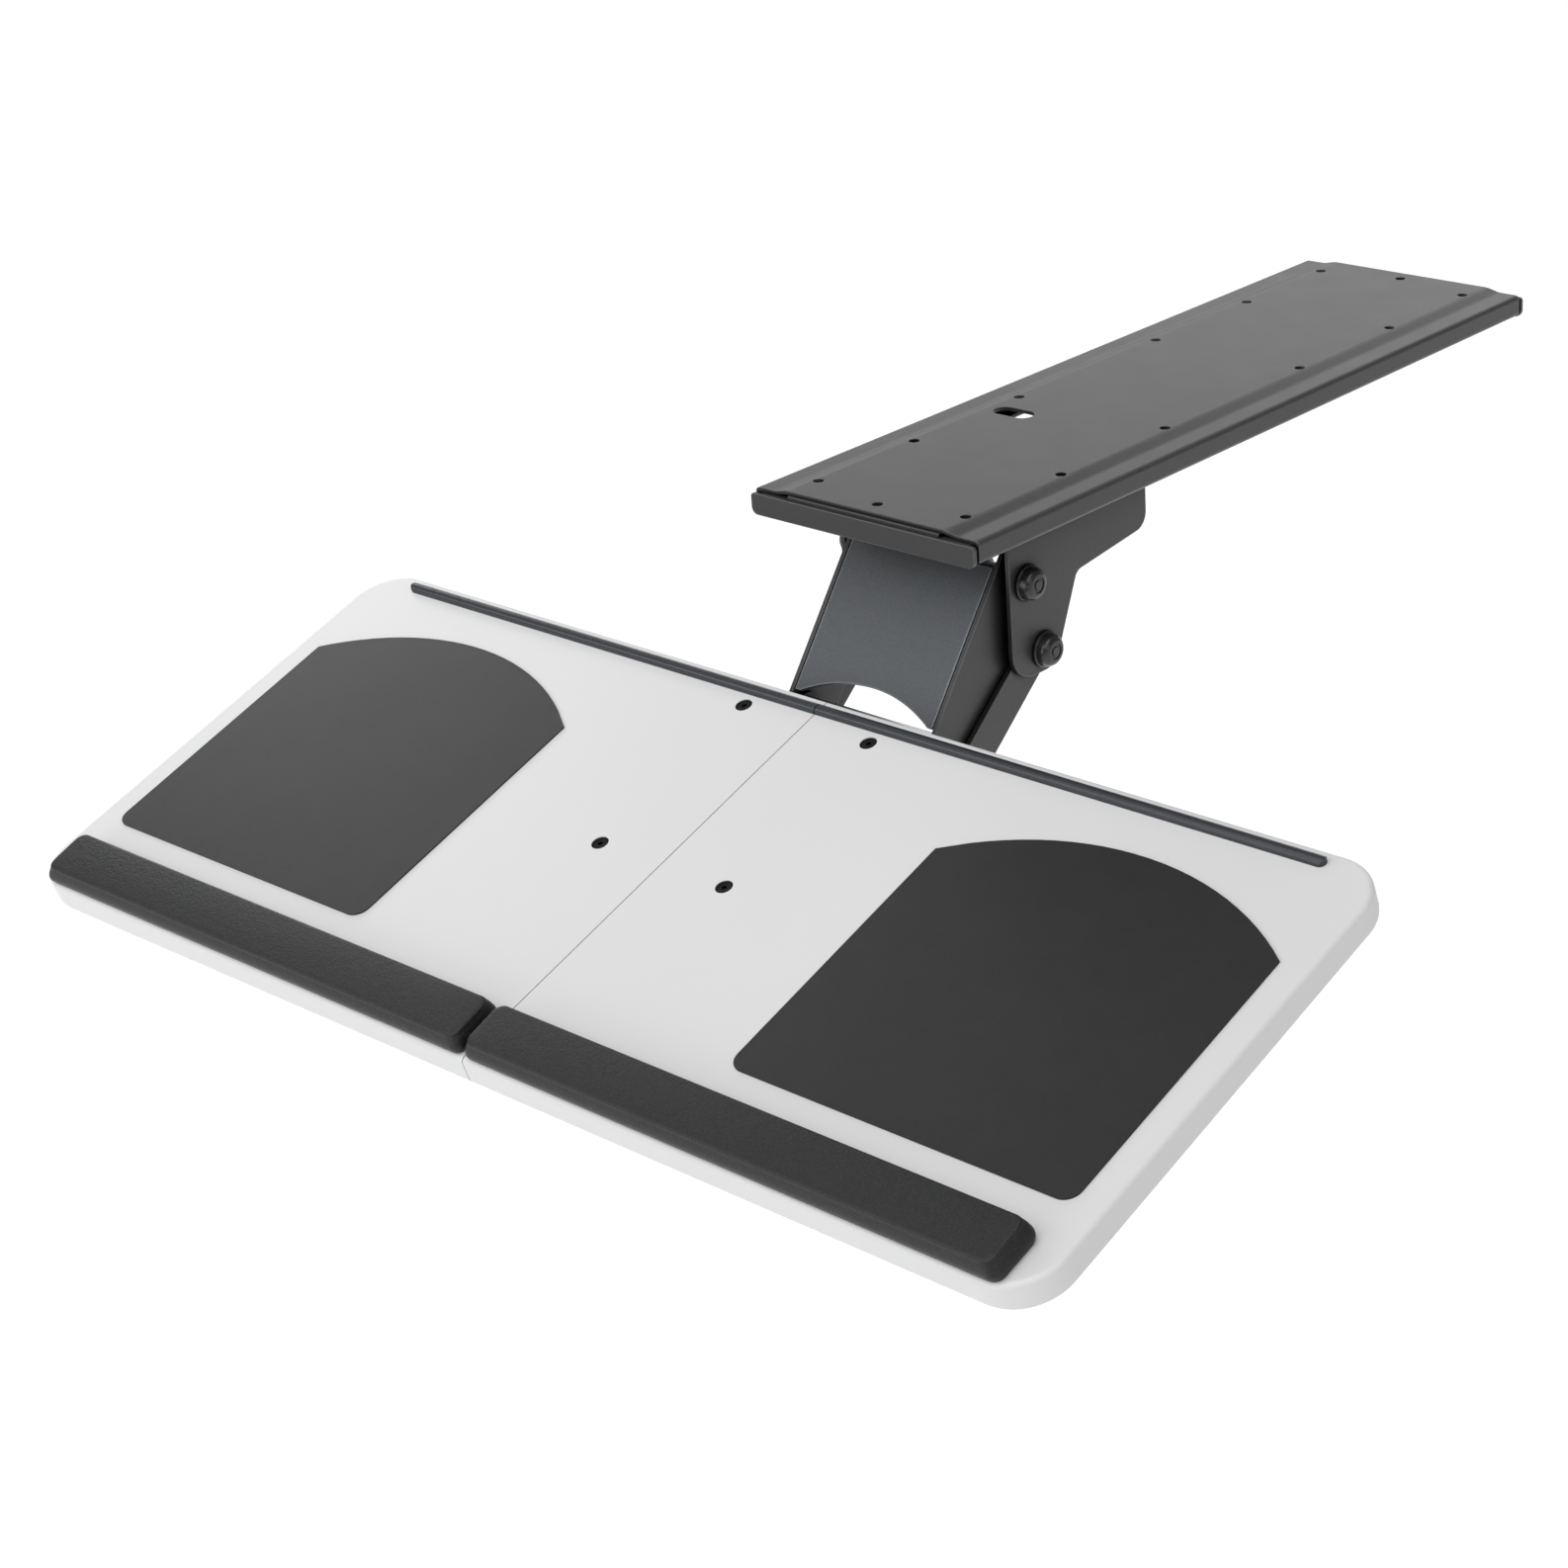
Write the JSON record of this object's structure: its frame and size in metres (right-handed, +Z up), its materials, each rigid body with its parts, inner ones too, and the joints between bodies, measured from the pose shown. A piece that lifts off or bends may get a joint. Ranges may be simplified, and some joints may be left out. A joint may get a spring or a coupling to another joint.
{
  "type": "under-desk keyboard tray",
  "caption": "Under-desk keyboard tray that slides on a track and swivels, with a height-adjusting arm, tilt clamp, palm rests and mouse pads.",
  "frame": {"origin": "centre of the track's top face, which screws flat to the desk's underside", "axes": "+Z up into the desk, +Y towards the back of the desk (the carriage slides along Y), +X to the sitter's right"},
  "size_m": [0.672, 0.7797, 0.1927],
  "materials": {
    "powder_coat": "fine-textured satin powder coat",
    "link_coat": "satin powder coat",
    "steel": "zinc plated",
    "nylon": "matte",
    "rubber": "matte",
    "cap_black": "semi-gloss moulded",
    "knob_black": "fine-grained moulded",
    "screw_black": "black oxide",
    "board_white": "smooth matt laminate on fibreboard",
    "dowel_wood": "raw beech",
    "mouse_pad": "matte cloth-textured",
    "rest_skin": "fine-grained soft artificial leather",
    "stop_strip": "satin moulded"
  },
  "bodies": {
    "track": {"track": "powder_coat", "front_stop": "powder_coat", "rear_stop": "powder_coat", "front_bumpers": "rubber", "rear_bumpers": "rubber"},
    "carriage": {"carriage_plate": "steel", "glide_front_left": "nylon", "glide_front_right": "nylon", "glide_rear_left": "nylon", "glide_rear_right": "nylon", "swivel_plate": "steel", "swivel_rivets": "steel", "thrust_washer": "nylon", "swivel_pin": "steel", "swivel_spring_washer": "steel", "swivel_nut": "steel"},
    "bracket": {"swivel_bracket": "powder_coat", "upper_rear_pin": "steel", "lower_rear_pins": "steel", "upper_spacers": "cap_black", "lift_spring_left": "steel", "lift_spring_right": "steel", "cap_upper_left": "cap_black", "cap_upper_right": "cap_black", "cap_lower_left": "cap_black", "cap_lower_right": "cap_black"},
    "upper_link": {"upper_link_face": "link_coat", "upper_link_left": "powder_coat", "upper_link_right": "powder_coat"},
    "lower_link": {"lower_link_left": "powder_coat", "lower_link_right": "powder_coat"},
    "head": {"head_plate_left": "powder_coat", "head_plate_right": "powder_coat", "head_web": "powder_coat", "upper_front_pin": "steel", "lower_front_pin": "steel", "head_sleeves": "steel", "lower_pin_clips": "cap_black", "tilt_bolt": "steel", "tilt_washers": "steel"},
    "knob": {"tilt_knob": "knob_black"},
    "tray": {"tilt_bracket": "powder_coat", "mount_plate": "powder_coat", "bracket_rivets": "steel", "tray_left": "board_white", "tray_right": "board_white", "board_dowels": "dowel_wood", "tray_screws": "screw_black", "tray_nuts": "steel", "joining_strip": "powder_coat", "strip_screws": "steel", "mouse_pad_left": "mouse_pad", "mouse_pad_right": "mouse_pad", "palm_rest_left": "rest_skin", "palm_rest_right": "rest_skin", "stop_rail_left": "stop_strip", "stop_rail_right": "stop_strip"}
  },
  "joints": [
    {"name": "track_slide", "type": "slide", "parent": "track", "child": "carriage", "axis": [0, 1, 0], "range_m": [-0.039, 0.325]},
    {"name": "swivel", "type": "hinge", "parent": "carriage", "child": "bracket", "pos_m": [0, -0.143, -0.015], "axis": [0, 0, 1], "range_deg": [-180, 180]},
    {"name": "arm_lift", "type": "hinge", "parent": "bracket", "child": "upper_link", "pos_m": [0, -0.185, -0.044], "axis": [1, 0, 0], "range_deg": [-30, 20]},
    {"name": "lower_link_swing", "type": "hinge", "parent": "bracket", "child": "lower_link", "pos_m": [0, -0.1735, -0.0835], "axis": [1, 0, 0], "range_deg": [-30.5, 20.5]},
    {"name": "head_level", "type": "hinge", "parent": "upper_link", "child": "head", "pos_m": [0, -0.244, -0.118], "axis": [1, 0, 0], "range_deg": [-20.5, 30.5]},
    {"name": "tray_tilt", "type": "hinge", "parent": "head", "child": "tray", "pos_m": [0, -0.275, -0.131], "axis": [1, 0, 0], "range_deg": [-24, 6]},
    {"name": "knob_turn", "type": "hinge", "parent": "head", "child": "knob", "pos_m": [0.06, -0.275, -0.131], "axis": [1, 0, 0], "range_deg": [0, 360]}
  ],
  "couplings": [
    {"joint": "lower_link_swing", "follows": "arm_lift", "ratio": 1},
    {"joint": "head_level", "follows": "arm_lift", "ratio": -1}
  ]
}
